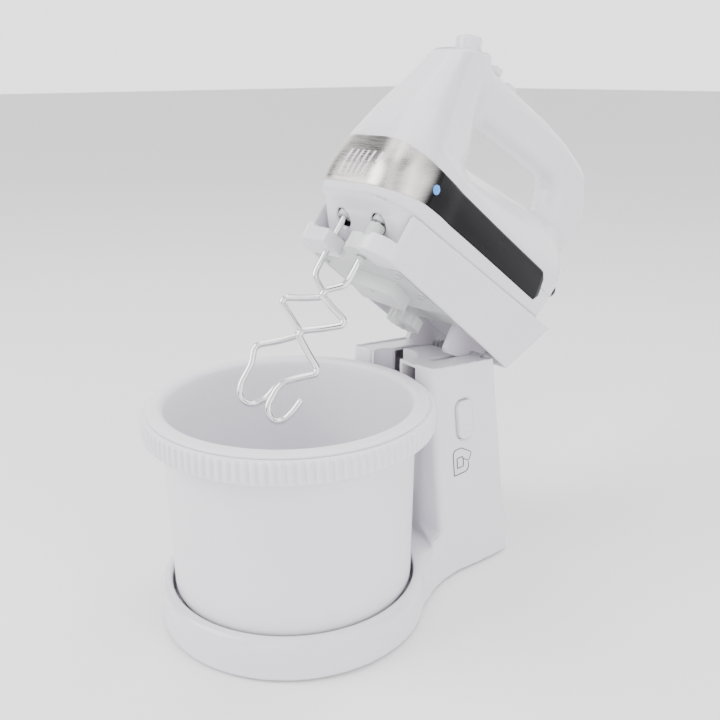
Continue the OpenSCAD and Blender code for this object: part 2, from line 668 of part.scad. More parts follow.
module upper_housing() color(white) head() difference() {
    union() {
        difference() {
            mixer_outer(0);
            below_split(0.01);
        }
        difference() {
            grip(0);
            below_split(10);
        }
    }
    difference() {
        union() {
            mixer_outer(shell);
            difference() {
                grip(shell);
                below_split(12);
            }
        }
        finger_gap(shell);
        // Plate that guides the eject button
        knob_place() translate([0, 0, -10.8]) cylinder(r = 40, h = 3);
    }
    knob_place() translate([0, 0, -7.8]) cylinder(r = knob_r + 0.35, h = 30);
    finger_gap(0);
    difference() {
        band_zone(-60, 187);
        mixer_outer(trim);
    }
    vent_slots();
    // Bore of the eject button, slot of the switch, opening of the turbo button
    knob_place() translate([0, 0, -30]) cylinder(r = 7 + run, h = 60);
    translate(switch_at) rotate([switch_tilt, 0, 0]) translate([-2.2, -2.2, -20]) cube([4.4, 15, 30]);
    translate(turbo_at) rotate([turbo_tilt, 0, 0]) translate([-6.35, -6.85, -20])
        cube([12.7, 13.7, 30]);
    translate([0, 246, 262]) rotate([-65, 0, 0]) translate([0, 0, -12]) cylinder(r = 5, h = 60);
}

module nose_band() color(steel) head() difference() {
    intersection() {
        mixer_outer(0);
        band_zone(-60, band_end);
    }
    mixer_outer(trim);
    vent_slots();
}

module side_panel(side) color(black) head() difference() {
    intersection() {
        mixer_outer(0);
        band_zone(band_end, 186.5);
        translate([side > 0 ? 0 : -100, 0, 0]) cube([100, 300, 400]);
    }
    mixer_outer(trim);
    lens_place(side) cylinder(r = 2.8, h = 20, center = true);
}
module side_panel_right() side_panel(1);
module side_panel_left() side_panel(-1);
module lens_place(side) translate([side * 43.6, 34, 229.5]) rotate([0, 90, 0]) children();
module indicator_lens() color([0.1, 0.5, 0.95]) head() lens_place(1)
    translate([0, 0, -0.5]) cylinder(r = 2.7, h = 1);

// ---------------------------------------------------------------- motor and drive

module along(y, z = motor_z) translate([0, y, z]) rotate([-90, 0, 0]) children();
module motor_stator() color([0.4, 0.4, 0.42]) head() along(74) difference() {
    translate([-27, -27, 0]) cube([54, 54, 32]);
    translate([0, 0, -1]) cylinder(r = 18.5, h = 40);
    for (s = [-1, 1]) translate([s * 22.5 - 3, -14, -1]) cube([6, 28, 40]);
}
module field_coils() color(copper) head() for (s = [-1, 1]) along(68) difference() {
    translate([s * 22.5 - 2.8, -13.8, 0]) cube([5.6, 27.6, 44]);
    translate([s * 22.5 - 3, -6, 5.7]) cube([6, 12, 32.6]);
}
module rotor_shaft() color(steel) head() along(6) cylinder(r = 3, h = 160);
module rotor_core() color([0.5, 0.4, 0.35]) head() along(74) difference() {
    ring(17.6, 3, 32);
    for (a = [0:30:330]) rotate(a) translate([13, -1, -1]) cube([8, 2, 40]);
}
module commutator() color(copper) head() along(118) difference() {
    ring(9, 3, 12);
    for (a = [0:30:330]) rotate(a) translate([8, -0.3, 1]) cube([3, 0.6, 13]);
}
module cooling_fan() color(black) head() along(52) difference() {
    union() {
        ring(26, 3, 1.6);
        ring(8, 3, 9);
        for (a = [0:36:324]) rotate(a) translate([6, -0.7, 0.8]) cube([19, 1.4, 8]);
    }
    translate([0, 0, -1]) cylinder(r = 3, h = 20);
}
module worm() color(steel) head() along(9) difference() {
    union() {
        cylinder(r = 3.6, h = 19);
        translate([0, 0, 1.2]) tube([for (i = [0:60]) [3.5 * cos(i * 30), 3.5 * sin(i * 30),
            i * 16.6 / 60]], 0.9, 6);
    }
    translate([0, 0, -1]) cylinder(r = 3, h = 30);
}
module brush_holders() color([0.3, 0.25, 0.2]) head() for (s = [-1, 1]) along(120)
    translate([s > 0 ? 9.3 : -24.3, -3, 0]) cube([15, 6, 8]);
module motor_bushes() color([0.7, 0.55, 0.35]) head() for (y = [30, 150]) along(y) ring(7, 3 + run, 8);

module spindle_gear(side) color(milky) head() translate([side * hook_x, hook_y, 0]) difference() {
    union() {
        translate([0, 0, motor_z - 4]) spur(spindle_teeth, 1, 8, 0.2, 0.9);
        translate([0, 0, 192]) cylinder(r = 5.4, h = 38);
    }
    translate([0, 0, 180]) cylinder(r = 2.95, h = 80);
}
module spindle_gear_left() spindle_gear(-1);
module spindle_gear_right() spindle_gear(1);
module spindle_bushes() color([0.7, 0.55, 0.35]) head() for (s = [-1, 1])
    translate([s * hook_x, hook_y, 198.5]) ring(8, 5.4 + run, 6.9);

// Zigzag of the hooks: distance from the axis and height
hook_left = [[0, 190], [0, 147], [1.5, 142.5], [11.5, 135], [12.2, 131], [1, 124.5], [-10, 119],
    [-11, 115], [0, 108.5], [9.5, 103], [10.5, 99], [0, 89], [-11.5, 80], [-12.5, 76],
    [-9, 66], [-9, 50], [-6, 42.5], [0, 39.5], [6.5, 41.5], [11, 48], [13.5, 58]];
hook_right = [[0, 190], [0, 145], [-1.5, 140.5], [-11, 132], [-12, 128], [-1, 123],
    [9.5, 119.5], [10.5, 115.5], [0, 107.5], [-12, 99.5], [-13, 95.5], [-2, 88], [9, 81],
    [9.8, 77], [0, 69], [-7, 62], [-9, 56], [-9, 44], [-6, 38.5], [0, 36], [5, 39], [8, 48],
    [9, 56]];
hook_turn = 45;
module hook(path, side) color(steel) head() translate([side * hook_x, hook_y, 0])
    rotate(hook_turn) {
        tube([for (p = path) [p[0], 0, p[1]]], wire_r, 12);
        translate([0, 0, 186]) cylinder(r = wire_r - 0.12, h = 51);
        translate([-3.4, -0.8, 184]) cube([6.8, 1.6, 5]);
    }
module dough_hook_left() hook(hook_left, -1);
module dough_hook_right() hook(hook_right, 1);

// ---------------------------------------------------------------- controls

module knob_place() translate(knob_at) rotate([knob_tilt, 0, 0]) children();
module eject_button() color(white) head() knob_place() {
    rotate_extrude() polygon([[0, -24], [5.4, -24], [5.4, -21.2], [3.6, -21.2], [3.6, -9.4], [7, -9.4],
        [7, -1], [knob_r, -1], [knob_r, 8.6], [knob_r - 1.6, 10.4], [0, 11]]);
}
module eject_spring() color(steel) head() knob_place() translate([0, 0, -20.4])
    tube(helix(5, 10.2, 4), 0.6, 6);
module eject_yoke() color(white) head() difference() {
    union() {
        translate([-24, hook_y - 5, 237.4]) cube([48, 10, 3]);
        translate([-5, hook_y - 5, 237.4]) cube([10, 8, 87]);
        translate([-5, hook_y - 5, 320]) cube([10, 28, 4.4]);
    }
    translate([-30, 0, 326]) rotate([knob_tilt, 0, 0]) cube([60, 60, 20]);
}
module speed_switch() color(white) head() translate(switch_at) rotate([switch_tilt, 0, 0]) {
    translate([-5, -4.5, 0.8]) cube([10, 9, 6.4]);
    translate([-1.9, -1.9, -9]) cube([3.8, 3.8, 10]);
    translate([-4, -4, -9]) cube([8, 8, 2]);
}
module turbo_button() color(white) head() translate(turbo_at) rotate([turbo_tilt, 0, 0]) {
    translate([-6, -6.5, -5]) cube([12, 13, 8.2]);
    translate([-7.4, -7.6, -6.4]) cube([14.8, 15.2, 1.5]);
}
module turbo_spring() color(steel) head() translate(turbo_at) rotate([turbo_tilt, 0, 0])
    translate([0, 0, -13.4]) tube(helix(3.4, 6.2, 3), 0.5, 6);
module circuit_board() color([0.1, 0.35, 0.2]) head() translate([-12.5, 66, 335.5])
    rotate([10, 0, 0]) {
        cube([25, 58, 1.6]);
        translate([4, 38, 1.6]) cube([17, 12, 5]);
    }
module cord_gland() color(black) head() translate([0, 246, 262]) rotate([-65, 0, 0])
    difference() {
        union() {
            cylinder(r = 4.9, h = 12);
            translate([0, 0, 9.5]) cylinder(r = 7, h = 3);
        }
        translate([0, 0, -1]) cylinder(r = 3, h = 8);
    }
module mixer_screws() color(steel) head() for (p = mixer_screw_at)
    translate([p[0], p[1], 181.2]) screw(2, 1.6);

// ---------------------------------------------------------------- drawing

stand_housing();
base_cover();
rubber_feet();
column_deck();
hinge_pin();
hinge_spring();
release_button();
latch_slide();
latch_spring();
stand_screws();
turntable_spindle();
thrust_washer();
turntable();
bowl();
bowl_ring();
arm_tray();
gearbox_housing();
hinge_bracket();
arm_screws();
gear_axles();
drive_sleeve();
reduction_gear();
idler_gear();
drive_wheel();
lower_housing();
upper_housing();
nose_band();
side_panel_right();
side_panel_left();
indicator_lens();
motor_stator();
field_coils();
rotor_shaft();
rotor_core();
commutator();
worm();
cooling_fan();
brush_holders();
motor_bushes();
spindle_gear_left();
spindle_gear_right();
spindle_bushes();
dough_hook_left();
dough_hook_right();
eject_button();
eject_yoke();
eject_spring();
speed_switch();
turbo_button();
turbo_spring();
circuit_board();
cord_gland();
mixer_screws();
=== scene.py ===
import json
import math
import bpy
import bmesh
import numpy as np
from mathutils import Matrix, Vector


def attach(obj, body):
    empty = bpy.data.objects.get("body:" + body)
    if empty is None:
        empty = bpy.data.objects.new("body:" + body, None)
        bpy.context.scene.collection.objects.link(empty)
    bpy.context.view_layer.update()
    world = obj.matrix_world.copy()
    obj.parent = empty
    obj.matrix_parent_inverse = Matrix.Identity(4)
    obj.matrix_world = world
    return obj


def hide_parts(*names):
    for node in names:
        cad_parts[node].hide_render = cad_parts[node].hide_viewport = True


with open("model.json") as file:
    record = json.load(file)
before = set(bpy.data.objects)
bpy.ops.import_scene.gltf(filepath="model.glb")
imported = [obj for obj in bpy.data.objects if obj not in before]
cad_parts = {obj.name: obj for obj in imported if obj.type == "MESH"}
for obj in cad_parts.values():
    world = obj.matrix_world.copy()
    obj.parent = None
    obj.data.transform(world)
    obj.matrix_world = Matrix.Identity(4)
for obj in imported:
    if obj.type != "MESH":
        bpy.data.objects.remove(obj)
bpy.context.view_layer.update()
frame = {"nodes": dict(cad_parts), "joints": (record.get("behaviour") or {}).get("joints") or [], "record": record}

scene = bpy.context.scene
NODES = frame["nodes"]

# ------------------------------------------------------------ frames
# Millimetres measured from the bowl's axis; the head is described in its lowered position.
HINGE = next(j for j in frame["joints"] if j["name"] == "arm_hinge")["pos_m"]
PY, PZ = 170.5, 162.5
SHIFT = PY - 1000 * HINGE[1]
OPEN = math.radians(38.5)
CS, SN = math.cos(OPEN), math.sin(OPEN)
HOOK_X, HOOK_Y = 18, 18.5
WALL = 2.6
LIFT = 0.35
BAND_END, PANEL_END = 26.0, 186.5
COLUMN_HALF, COLUMN_SLOPE = 64.4, 0.1226


def stand_frame(p):
    p = np.asarray(p, float)
    return np.stack([p[..., 0], p[..., 1] - SHIFT, p[..., 2]], -1) / 1000


def head_frame(p):
    p = np.asarray(p, float)
    dy, dz = p[..., 1] - PY, p[..., 2] - PZ
    return np.stack([p[..., 0], PY + dy * CS + dz * SN - SHIFT, PZ - dy * SN + dz * CS], -1) / 1000


def mesh_object(name, verts, faces, to=None, smooth=True):
    verts = np.asarray(verts, float)
    if to is not None:
        verts = to(verts)
    me = bpy.data.meshes.new(name)
    me.from_pydata(verts.tolist(), [], [list(map(int, f)) for f in faces])
    me.validate()
    me.update()
    if smooth:
        me.shade_smooth()
    o = bpy.data.objects.new(name, me)
    scene.collection.objects.link(o)
    return o


# ------------------------------------------------------------ distance fields
def length2(a, b):
    return np.sqrt(a * a + b * b)


def rmax(a, b, r):
    """Intersection with a rounded edge of radius r."""
    u, v = a + r, b + r
    return length2(np.maximum(u, 0), np.maximum(v, 0)) + np.minimum(np.maximum(u, v), 0) - r


def smin(a, b, k):
    h = np.maximum(k - np.abs(a - b), 0) / k
    return np.minimum(a, b) - h * h * k / 4


def smax(a, b, k):
    return -smin(-a, -b, k)


def poly(y, z, pts):
    """Signed distance to a polygon in two dimensions, negative inside."""
    d = None
    inside = False
    n = len(pts)
    for i in range(n):
        ax, ay = pts[i]
        bx, by = pts[(i + 1) % n]
        ex, ey = bx - ax, by - ay
        wx, wy = y - ax, z - ay
        t = np.clip((wx * ex + wy * ey) / (ex * ex + ey * ey), 0, 1)
        q = (wx - t * ex) ** 2 + (wy - t * ey) ** 2
        d = q if d is None else np.minimum(d, q)
        if ey != 0:
            hit = ((ay > z) != (by > z)) & (y < ex * (z - ay) / ey + ax)
            inside = inside ^ hit
    return np.where(inside, -1, 1) * np.sqrt(d)


def smooth_table(xs, ys, n=500):
    """Monotone cubic interpolation, held at its ends."""
    xs, ys = np.array(xs, float), np.array(ys, float)
    h, d = np.diff(xs), np.diff(ys) / np.diff(xs)
    m = np.concatenate([[d[0]], np.zeros(len(xs) - 2), [d[-1]]])
    for i in range(1, len(xs) - 1):
        if d[i - 1] * d[i] > 0:
            m[i] = 2 * d[i - 1] * d[i] / (d[i - 1] + d[i])
    X = np.linspace(xs[0], xs[-1], n)
    i = np.clip(np.searchsorted(xs, X) - 1, 0, len(xs) - 2)
    t = (X - xs[i]) / h[i]
    Y = ((1 + 2 * t) * (1 - t) ** 2 * ys[i] + t * (1 - t) ** 2 * h[i] * m[i]
         + t * t * (3 - 2 * t) * ys[i + 1] + t * t * (t - 1) * h[i] * m[i + 1])
    return lambda v: np.interp(v, X, Y)


def arc(c, r, a0, a1, n=8):
    return [(c[0] + r * math.cos(math.radians(a0 + (a1 - a0) * i / n)),
             c[1] + r * math.sin(math.radians(a0 + (a1 - a0) * i / n))) for i in range(n + 1)]


def surface(f, lo, hi, h, plain=None):
    """Surface nets of f = 0 on a grid, then Newton steps onto the exact surface, of plain alone if given."""
    lo = np.array(lo, float)
    n = np.ceil((np.array(hi, float) - lo) / h).astype(int) + 1
    ax = [lo[i] + h * np.arange(n[i]) for i in range(3)]
    V = np.broadcast_to(f(ax[0][:, None, None], ax[1][None, :, None], ax[2][None, None, :]), n)
    V = np.array(V, np.float32)
    S = V < 0
    cnt = np.zeros(n - 1, np.int8)
    corners = [(i, j, k) for i in (0, 1) for j in (0, 1) for k in (0, 1)]
    for i, j, k in corners:
        cnt += S[i:n[0] - 1 + i, j:n[1] - 1 + j, k:n[2] - 1 + k]
    idx = np.argwhere((cnt > 0) & (cnt < 8))
    ids = np.full(n - 1, -1, np.int64)
    ids[idx[:, 0], idx[:, 1], idx[:, 2]] = np.arange(len(idx))
    cv = np.stack([V[idx[:, 0] + i, idx[:, 1] + j, idx[:, 2] + k] for i, j, k in corners], 1)
    C = np.array(corners, float)
    acc, num = np.zeros((len(idx), 3)), np.zeros(len(idx))
    for a in range(8):
        for b in range(a + 1, 8):
            if np.abs(C[a] - C[b]).sum() != 1:
                continue
            m = (cv[:, a] < 0) != (cv[:, b] < 0)
            t = cv[:, a] / np.where(m, cv[:, a] - cv[:, b], 1)
            acc += np.where(m[:, None], C[a] + t[:, None] * (C[b] - C[a]), 0)
            num += m
    P = lo + h * (idx + acc / num[:, None])
    quads = []
    for d in range(3):
        u, v = (d + 1) % 3, (d + 2) % 3
        s0 = [slice(None)] * 3
        s1 = [slice(None)] * 3
        s0[d], s1[d] = slice(0, n[d] - 1), slice(1, n[d])
        e = np.argwhere(S[tuple(s0)] != S[tuple(s1)])
        e = e[(e[:, u] > 0) & (e[:, u] < n[u] - 1) & (e[:, v] > 0) & (e[:, v] < n[v] - 1)]
        q = []
        for du, dv in ((-1, -1), (0, -1), (0, 0), (-1, 0)):
            c = e.copy()
            c[:, u] += du
            c[:, v] += dv
            q.append(ids[c[:, 0], c[:, 1], c[:, 2]])
        q = np.stack(q, 1)
        flip = ~S[e[:, 0], e[:, 1], e[:, 2]]
        q[flip] = q[flip][:, ::-1]
        quads.append(q)
    f = plain or f
    near = np.abs(f(*P.T)) < (1.4 if plain else 1e9)
    P0 = P.copy()
    eps = 0.04
    for _ in range(3):
        x, y, z = P[near].T
        val = f(x, y, z)
        g = np.stack([f(x + eps, y, z) - f(x - eps, y, z), f(x, y + eps, z) - f(x, y - eps, z),
                      f(x, y, z + eps) - f(x, y, z - eps)], 1) / (2 * eps)
        g2 = np.maximum((g * g).sum(1), 0.05)
        step = -(val / g2)[:, None] * g
        size = np.linalg.norm(step, axis=1, keepdims=True)
        P[near] += step * np.minimum(1, 0.5 * h / np.maximum(size, 1e-9))
    off = P - P0
    size = np.linalg.norm(off, axis=1, keepdims=True)
    P = P0 + off * np.minimum(1, 0.9 * h / np.maximum(size, 1e-9))
    return P, np.concatenate(quads)


def solid(name, f, lo, hi, h, to, plain=None):
    P, Q = surface(f, lo, hi, h, plain)
    return mesh_object(name, P, Q, to)


def even(f, reach=7.0):
    """f divided by its slope near its surface, so that a shell keeps its thickness."""
    def g(x, y, z):
        v = np.array(f(x, y, z))
        m = np.abs(v) < reach
        x, y, z = (np.broadcast_to(a, v.shape)[m] for a in (x, y, z))
        e, v0 = 0.3, v[m]
        dx, dy, dz = f(x + e, y, z) - v0, f(x, y + e, z) - v0, f(x, y, z + e) - v0
        slope = np.sqrt(dx ** 2 + dy ** 2 + dz ** 2) / e
        v[m] = v0 / np.clip(slope, 1, 6)
        return v
    return g


# ------------------------------------------------------------ the hand mixer's shape
NZ = [195, 203, 209, 225, 245, 263, 277, 289, 305, 322, 338, 352]
nose_front = smooth_table(NZ, [9, -5.5, -9, -11, -10, -7.5, -4.6, -1.4, 3, 7.3, 11, 15])
nose_rear = smooth_table(NZ, [66, 66, 66, 66, 66, 66, 65, 61, 56, 53, 51, 50])
nose_half = smooth_table(NZ, [33, 42, 43.4, 43.8, 41.5, 37.6, 33.8, 30, 25.5, 21, 17.6, 15.5])
nose_round = smooth_table(NZ, [17, 25, 26, 28, 29, 28, 25, 22, 18, 14.5, 12.5, 12])
BZ = [178.8, 203, 225, 250, 275, 300]
body_front = smooth_table(BZ, [32, 8, 8, 8, 10, 20])
body_rear = smooth_table(BZ, [190, 204, 212.5, 221.5, 227, 231])
body_half = smooth_table(BZ[:4], [43, 44, 44, 41])
body_round = smooth_table(BZ, [8, 16, 20, 22, 20, 16])
ridge = smooth_table([40, 76, 145, 196, 226, 240], [268, 276, 292, 303, 298, 290])
seam = smooth_table([-10, 10, 84, 227], [202.5, 203, 208, 219.5])
GRIP = ([(40, 300), (40, 235), (205, 228), (225, 262), (235, 290), (239.3, 310)]
        + arc((201, 321), 44, 12, 44, 8)
        + [(214, 366.5), (200, 368.3), (170, 368.6), (135, 365), (110, 360.6), (90, 357.5),
           (63, 353), (45, 350)])
HOLE = (arc((80, 291), 12, 165, 280, 8) + [(140, 291)] + arc((181, 312), 12, -78, 20, 8)
        + arc((176, 322), 12, 15, 100, 8) + arc((80, 304), 12, 105, 170, 6))
KNOB, KNOB_TILT = (0, 33.1, 349), math.radians(30)
SWITCH, SWITCH_TILT = (0, 68, 354.4), math.radians(9.5)
TURBO, TURBO_TILT = (0, 89, 357.5), math.radians(9)


def local(x, y, z, at, tilt):
    """Coordinates in a frame at a point, tilted about X."""
    dy, dz = y - at[1], z - at[2]
    c, s = math.cos(tilt), math.sin(tilt)
    return x - at[0], dy * c + dz * s, -dy * s + dz * c


def nose(x, y, z):
    r = nose_round(z)
    yc, hl = (nose_front(z) + nose_rear(z)) / 2, (nose_rear(z) - nose_front(z)) / 2
    d = rmax(np.abs(x) - nose_half(z), np.abs(y - yc) - hl, r)
    top = -0.5 * (y - 33.1) + 0.866 * (z - 349.3)
    return rmax(rmax(d, top, 4.5), 193 - z, 9)


def body(x, y, z):
    r = body_round(z)
    w = np.clip((z - 250) / (ridge(y) - 250), 0, 2)
    half = np.where(w > 0, 41 * np.clip(1 - w ** 1.5, 0, 1) ** 0.62 - 22 * np.maximum(w - 1, 0), body_half(z))
    yc, hl = (body_front(z) + body_rear(z)) / 2, (body_rear(z) - body_front(z)) / 2
    return rmax(rmax(np.abs(x) - half, np.abs(y - yc) - hl, r), 178.8 - z, 6)


def grip(x, y, z):
    return rmax(np.maximum(poly(y, z, GRIP), -poly(y, z, HOLE)), np.abs(x) - 15.5, 13)


def mixer(x, y, z):
    f = smin(smin(nose(x, y, z), body(x, y, z), 7), grip(x, y, z), 11)
    return f + 1.3 * np.clip((seam(y) - z) / 1.3, 0, 1)


def split(y, z):
    return z - np.interp(y, [-40, 187, 400], [219, 238, 251])


def knob_bore(x, y, z):
    a, b, c = local(x, y, z, KNOB, KNOB_TILT)
    return np.maximum(length2(a, b) - 10.65, -c - 7.8)


def switch_slot(x, y, z):
    a, b, c = local(x, y, z, SWITCH, SWITCH_TILT)
    return np.maximum(np.maximum(np.abs(a) - 2.4, np.abs(b - 5.3) - 7.6), np.abs(c) - 8)


def turbo_window(x, y, z):
    a, b, c = local(x, y, z, TURBO, TURBO_TILT)
    return np.maximum(rmax(np.abs(a) - 6.4, np.abs(b) - 6.9, 2), np.abs(c) - 12)


def hook_holes(x, y, z):
    return np.maximum(length2(np.abs(x) - HOOK_X, y - HOOK_Y) - 6.7, z - 204)


def upper_plain(x, y, z, f=None):
    f = smax(mixer(x, y, z) if f is None else f, 0.12 - split(y, z), 0.5)
    for cut in (knob_bore, switch_slot, turbo_window):
        f = smax(f, -cut(x, y, z), 0.6)
    return f


def lower_plain(x, y, z, f=None):
    f = smax(mixer(x, y, z) if f is None else f, split(y, z) + 0.12, 0.5)
    return smax(f, -hook_holes(x, y, z), 0.8)


def upper_shell(x, y, z):
    f = even(mixer)(x, y, z)
    return np.maximum(upper_plain(x, y, z, f), -(f + WALL))


def lower_shell(x, y, z):
    f = even(mixer)(x, y, z)
    return np.maximum(lower_plain(x, y, z, f), -(f + WALL))


# Band and panels: strips that follow the shell's surface
band_low = smooth_table([-30, -12, 4, 22, 60, 186.5], [205.5, 206, 209.5, 213.5, 217, 225])
band_top = smooth_table([-30, -10, 20, 71, 186.5], [246.5, 243, 241.2, 243.6, 251])


def band_stations(y_end, n_side, n_arc):
    """Ray origins and directions round the nose, from the right side's rear to the left side's rear."""
    out = [(y, (1.0, 0.0)) for y in np.linspace(y_end, 24, n_side, endpoint=False)]
    out += [(24.0, (math.cos(a), -math.sin(a))) for a in np.linspace(0, math.pi, n_arc)]
    out += [(y, (-1.0, 0.0)) for y in np.linspace(24, y_end, n_side + 1)[1:]]
    return out


def ray_hit(oy, d, z, lift):
    """Where a level ray from (0, oy) meets the shell's surface raised by lift."""
    lo, hi = np.zeros_like(z), np.full_like(z, 75.0)
    for _ in range(26):
        mid = (lo + hi) / 2
        x, y = d[0] * mid, oy + d[1] * mid
        inside = (nose_body(x, y, z) - lift) < 0
        lo, hi = np.where(inside, mid, lo), np.where(inside, hi, mid)
    return np.stack([d[0] * lo, oy + d[1] * lo, z], -1)


def nose_body(x, y, z):
    return smin(nose(x, y, z), body(x, y, z), 7)


def strip(name, stations, lift, rows, round_end=0.0, end_y=None):
    """A thin raised strip with rounded long edges, as a closed grid of rows."""
    grid = []
    for oy, d in stations:
        z = np.array([228.0])
        y = ray_hit(oy, d, z, lift)[0][1]
        lo, hi = float(band_low(y)), float(band_top(y))
        if round_end:
            g = end_y - oy
            if g < round_end:
                cut = round_end - math.sqrt(max(0, round_end ** 2 - (round_end - g) ** 2))
                lo, hi = lo + cut, hi - cut
        v = np.linspace(0, 1, rows)
        z = lo + (hi - lo) * v
        for k in range(rows):
            yk = ray_hit(oy, d, z[k:k + 1], lift)[0][1]
            lo2 = float(band_low(yk)) + (lo - float(band_low(y)))
            hi2 = float(band_top(yk)) + (hi - float(band_top(y)))
            z[k] = lo2 + (hi2 - lo2) * v[k]
        top = ray_hit(oy, d, z, lift)
        e = np.array([z[0], z[-1]])
        out = ray_hit(oy, d, e, -0.9)
        shoulder = ray_hit(oy, d, np.array([z[0] - 0.28, z[-1] + 0.28]), lift - 0.28)
        foot = out + np.array([[0, 0, -0.28], [0, 0, 0.28]])
        grid.append(np.concatenate([foot[:1], shoulder[:1], top, shoulder[1:], foot[1:]]))
    G = np.array(grid)
    m, n = G.shape[:2]
    faces = [(i * n + j, (i + 1) * n + j, (i + 1) * n + j + 1, i * n + j + 1)
             for i in range(m - 1) for j in range(n - 1)]
    faces += [(i * n + n - 1, (i + 1) * n + n - 1, (i + 1) * n, i * n) for i in range(m - 1)]
    faces += [tuple(range(n)), tuple(reversed(range((m - 1) * n, m * n)))]
    return mesh_object(name, G.reshape(-1, 3), faces, head_frame)


# ------------------------------------------------------------ tray of the arm
SIDE = [(-6, 164.3), (188, 164.3), (218.5, 216.6), (3.6, 200.3)]


def plan(x, y, half, front, r):
    q1, q2 = np.abs(x) - half + r, front - y + r
    return length2(np.maximum(q1, 0), np.maximum(q2, 0)) + np.minimum(np.maximum(q1, q2), 0) - r


def tray(x, y, z):
    f = rmax(plan(x, y, 47.3, 4, 21), poly(y, z, SIDE), 2.2)
    bed = np.maximum(np.maximum(np.abs(x) - 45.1, 178.5 - z),
                     (y - np.interp(z, [178.5, 217], [193.6, 216])))
    under = np.maximum(np.maximum(np.abs(x) - 45.1, z - 176.5), np.maximum(30.5 - y, y - 186.5))
    f = smax(f, -bed, 0.5)
    f = smax(f, -under, 0.8)
    f = smax(f, -rmax(np.abs(x) - 30, np.maximum(y - 30.8, 175 - z), 5), 1.5)
    f = smax(f, -rmax(np.maximum(-10 - x, x - 24), np.maximum(y - 34, z - 187), 1), 0.8)
    return smax(f, -(mixer(x, y, z) - 0.5), 0.6)


# ------------------------------------------------------------ stand
def column(x, y, z):
    waist = 3.6 * np.exp(-((y - 117) / 24) ** 2) * np.exp(-np.maximum(z, 0) / 45)
    half = COLUMN_HALF - COLUMN_SLOPE * z - waist
    top = z - (171.3 - (y - 100) * 0.0959)
    front = np.interp(z, [0, 23, 41], [70, 70, 100]) - y
    rear = y - (177 - 0.0183 * z)
    return rmax(rmax(np.abs(x) - half, np.maximum(front, rear), 6), top, 1.3)


def disc(x, y, z):
    r = length2(x, y)
    return rmax(r - (97.4 - 0.012 * z), z - 31.3, 6.8)


def stand_outer(x, y, z):
    return rmax(smin(disc(x, y, z), column(x, y, z), 22), 2.2 - z, 0.8)


def button_local(x, y, z):
    t = math.atan((COLUMN_HALF - 43.4) / 171.3)
    dx, dz = x - (43.4 + 21 / 171.3 * 46.3), z - 125
    return dx * math.sin(t) - dz * math.cos(t), y - 132, dx * math.cos(t) + dz * math.sin(t)


def slab(a, b, la, lb, r):
    return rmax(np.abs(a) - la / 2, np.abs(b) - lb / 2, r)


def stand(x, y, z):
    f = stand_outer(x, y, z)
    hollow = stand_outer(x, y, z) + 2.8
    r = length2(x, y)
    f = smax(f, -np.maximum(r - 105.2, 33.5 - z), 1.6)
    f = smax(f, -np.maximum(r - 89, 13 - z), 1.8)
    f = smax(f, -np.maximum(np.maximum(hollow, 105.2 + 2.8 - r), z - 200), 0.6)
    f = smax(f, -np.maximum(length2(x + 9.1, y - 115.2) - 19.4, 147 - z), 1.2)
    f = smax(f, -np.maximum(column(x, y, np.minimum(z, 160)) + 2.9, 150 - z), 0.8)
    f = smax(f, -np.maximum(np.maximum(np.abs(x) - 23.4, 165 - y), 152.5 - z), 0.8)
    a, b, c = button_local(x, y, z)
    f = smax(f, -np.maximum(slab(a, b, 34, 20, 8), -0.9 - c), 0.9)
    f = smax(f, -np.maximum(slab(a, b, 31, 17, 6.5), -9 - c), 0.6)
    return f


def button(x, y, z):
    a, b, c = button_local(x, y, z)
    f = rmax(slab(a, b, 30.2, 16.2, 6.2), np.abs(c + 1.4) - 3.6, 1.2)
    bump = np.sqrt((a - 8.5) ** 2 + (b - 3) ** 2 + (c + 1.2) ** 2) - 5
    return smin(f, bump, 1.5)


# ------------------------------------------------------------ small moulded pieces
def switch(x, y, z):
    a, b, c = local(x, y, z, SWITCH, SWITCH_TILT)
    f = rmax(rmax(np.abs(a) - 5, np.abs(b) - 4.5, 1.6), np.abs(c - 4) - 3.2, 1.4)
    f = smax(f, 0.55 - length2((b - 1.8 * np.round(b / 1.8)), c - 7.4), 0.4)
    stem = np.maximum(np.maximum(np.abs(a) - 1.8, np.abs(b) - 1.8), np.abs(c + 3) - 6)
    return np.minimum(f, stem)


def turbo(x, y, z):
    a, b, c = local(x, y, z, TURBO, TURBO_TILT)
    return rmax(rmax(np.abs(a) - 6, np.abs(b) - 6.5, 2.2), np.abs(c + 1) - 4.2, 1.3)


def lathe(name, profile, at, n, to, tilt=0.0):
    """Surface of revolution about a tilted axis; the profile runs along the axis."""
    c, s = math.cos(tilt), math.sin(tilt)
    verts, faces = [], []
    m = len(profile)
    for i in range(n):
        a = 2 * math.pi * i / n
        for r, h in profile:
            u, v = r * math.cos(a), r * math.sin(a)
            verts.append((at[0] + u, at[1] + v * c - h * s, at[2] + v * s + h * c))
    for i in range(n):
        k = (i + 1) % n
        for j in range(m - 1):
            faces.append((i * m + j, k * m + j, k * m + j + 1, i * m + j + 1))
    return mesh_object(name, verts, faces, to)


def rounded(points, radius, n=5):
    """A polyline with its corners rounded."""
    out = [points[0]]
    for i in range(1, len(points) - 1):
        p, a, b = (np.array(points[j], float) for j in (i, i - 1, i + 1))
        r = radius[i] if isinstance(radius, (list, tuple)) else radius
        u, v = a - p, b - p
        lu, lv = np.linalg.norm(u), np.linalg.norm(v)
        t = min(r, lu * 0.45, lv * 0.45)
        p0, p1 = p + u / lu * t, p + v / lv * t
        for k in range(n + 1):
            s = k / n
            out.append(tuple((1 - s) ** 2 * p0 + 2 * s * (1 - s) * p + s * s * p1))
    out.append(points[-1])
    return out


